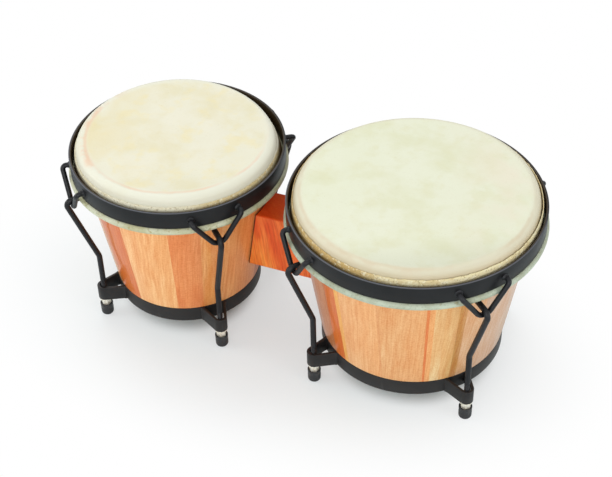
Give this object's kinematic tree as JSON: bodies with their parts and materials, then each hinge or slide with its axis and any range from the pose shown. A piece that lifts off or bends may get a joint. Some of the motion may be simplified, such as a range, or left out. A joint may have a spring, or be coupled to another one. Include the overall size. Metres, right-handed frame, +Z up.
{
  "type": "bongo drums",
  "caption": "Pair of joined hand drums with tapered wooden shells, rawhide heads, steel rims and hooked tension rods ending in rubber feet.",
  "frame": {"origin": "middle of the pair's length and depth, on the floor under the rubber feet", "axes": "+X from the small drum towards the large one, +Y to the back, +Z up towards the heads"},
  "size_m": [0.431, 0.2244, 0.1839],
  "materials": {
    "lacquered_stave_wood": "gloss lacquer over light staves",
    "red_block_wood": "gloss lacquer over red stain",
    "rawhide": "dry scraped rawhide",
    "black_coated_steel": "satin black coat",
    "zinc_plated_steel": "bright zinc plate",
    "black_rubber": "matt moulded rubber"
  },
  "bodies": {
    "drums": {"small_shell": "lacquered_stave_wood", "small_head": "rawhide", "small_flesh_hoop": "zinc_plated_steel", "small_bottom_ring": "black_coated_steel", "small_washer_back_right": "zinc_plated_steel", "small_washer_back_left": "zinc_plated_steel", "small_washer_front_left": "zinc_plated_steel", "small_washer_front_right": "zinc_plated_steel", "small_block_bolt_lower": "zinc_plated_steel", "small_block_washer_lower": "zinc_plated_steel", "small_block_bolt_upper": "zinc_plated_steel", "small_block_washer_upper": "zinc_plated_steel", "large_shell": "lacquered_stave_wood", "large_head": "rawhide", "large_flesh_hoop": "zinc_plated_steel", "large_bottom_ring": "black_coated_steel", "large_washer_back_right": "zinc_plated_steel", "large_washer_back_left": "zinc_plated_steel", "large_washer_front_left": "zinc_plated_steel", "large_washer_front_right": "zinc_plated_steel", "large_block_bolt_lower": "zinc_plated_steel", "large_block_washer_lower": "zinc_plated_steel", "large_block_bolt_upper": "zinc_plated_steel", "large_block_washer_upper": "zinc_plated_steel", "centre_block": "red_block_wood"},
    "small_rim_and_rods": {"small_rim": "black_coated_steel", "small_ear_back_right": "black_coated_steel", "small_rod_back_right": "black_coated_steel", "small_ear_back_left": "black_coated_steel", "small_rod_back_left": "black_coated_steel", "small_ear_front_left": "black_coated_steel", "small_rod_front_left": "black_coated_steel", "small_ear_front_right": "black_coated_steel", "small_rod_front_right": "black_coated_steel"},
    "small_foot_nut_back_right": {"small_nut_back_right": "zinc_plated_steel", "small_foot_back_right": "black_rubber"},
    "small_foot_nut_back_left": {"small_nut_back_left": "zinc_plated_steel", "small_foot_back_left": "black_rubber"},
    "small_foot_nut_front_left": {"small_nut_front_left": "zinc_plated_steel", "small_foot_front_left": "black_rubber"},
    "small_foot_nut_front_right": {"small_nut_front_right": "zinc_plated_steel", "small_foot_front_right": "black_rubber"},
    "large_rim_and_rods": {"large_rim": "black_coated_steel", "large_ear_back_right": "black_coated_steel", "large_rod_back_right": "black_coated_steel", "large_ear_back_left": "black_coated_steel", "large_rod_back_left": "black_coated_steel", "large_ear_front_left": "black_coated_steel", "large_rod_front_left": "black_coated_steel", "large_ear_front_right": "black_coated_steel", "large_rod_front_right": "black_coated_steel"},
    "large_foot_nut_back_right": {"large_nut_back_right": "zinc_plated_steel", "large_foot_back_right": "black_rubber"},
    "large_foot_nut_back_left": {"large_nut_back_left": "zinc_plated_steel", "large_foot_back_left": "black_rubber"},
    "large_foot_nut_front_left": {"large_nut_front_left": "zinc_plated_steel", "large_foot_front_left": "black_rubber"},
    "large_foot_nut_front_right": {"large_nut_front_right": "zinc_plated_steel", "large_foot_front_right": "black_rubber"}
  },
  "joints": [
    {"name": "small_rim_slide", "type": "slide", "parent": "drums", "child": "small_rim_and_rods", "axis": [0, 0, 1], "range_m": [0, 0.004]},
    {"name": "small_nut_turn_back_right", "type": "hinge", "parent": "drums", "child": "small_foot_nut_back_right", "pos_m": [-0.05755, 0.05849, 0.014], "axis": [0, 0, 1], "range_deg": [-1800, 0]},
    {"name": "small_nut_turn_back_left", "type": "hinge", "parent": "drums", "child": "small_foot_nut_back_left", "pos_m": [-0.17619, 0.06015, 0.014], "axis": [0, 0, 1], "range_deg": [-1800, 0]},
    {"name": "small_nut_turn_front_left", "type": "hinge", "parent": "drums", "child": "small_foot_nut_front_left", "pos_m": [-0.17785, -0.05849, 0.014], "axis": [0, 0, 1], "range_deg": [-1800, 0]},
    {"name": "small_nut_turn_front_right", "type": "hinge", "parent": "drums", "child": "small_foot_nut_front_right", "pos_m": [-0.05921, -0.06015, 0.014], "axis": [0, 0, 1], "range_deg": [-1800, 0]},
    {"name": "large_rim_slide", "type": "slide", "parent": "drums", "child": "large_rim_and_rods", "axis": [0, 0, 1], "range_m": [0, 0.004]},
    {"name": "large_nut_turn_back_right", "type": "hinge", "parent": "drums", "child": "large_foot_nut_back_right", "pos_m": [0.17058, 0.0714, 0.014], "axis": [0, 0, 1], "range_deg": [-1800, 0]},
    {"name": "large_nut_turn_back_left", "type": "hinge", "parent": "drums", "child": "large_foot_nut_back_left", "pos_m": [0.03191, 0.06728, 0.014], "axis": [0, 0, 1], "range_deg": [-1800, 0]},
    {"name": "large_nut_turn_front_left", "type": "hinge", "parent": "drums", "child": "large_foot_nut_front_left", "pos_m": [0.03602, -0.0714, 0.014], "axis": [0, 0, 1], "range_deg": [-1800, 0]},
    {"name": "large_nut_turn_front_right", "type": "hinge", "parent": "drums", "child": "large_foot_nut_front_right", "pos_m": [0.17469, -0.06728, 0.014], "axis": [0, 0, 1], "range_deg": [-1800, 0]}
  ],
  "couplings": [
    {"joint": "small_nut_turn_back_right", "follows": "small_rim_slide", "rad_per_m": -7854},
    {"joint": "small_nut_turn_back_left", "follows": "small_rim_slide", "rad_per_m": -7854},
    {"joint": "small_nut_turn_front_left", "follows": "small_rim_slide", "rad_per_m": -7854},
    {"joint": "small_nut_turn_front_right", "follows": "small_rim_slide", "rad_per_m": -7854},
    {"joint": "large_nut_turn_back_right", "follows": "large_rim_slide", "rad_per_m": -7854},
    {"joint": "large_nut_turn_back_left", "follows": "large_rim_slide", "rad_per_m": -7854},
    {"joint": "large_nut_turn_front_left", "follows": "large_rim_slide", "rad_per_m": -7854},
    {"joint": "large_nut_turn_front_right", "follows": "large_rim_slide", "rad_per_m": -7854}
  ]
}
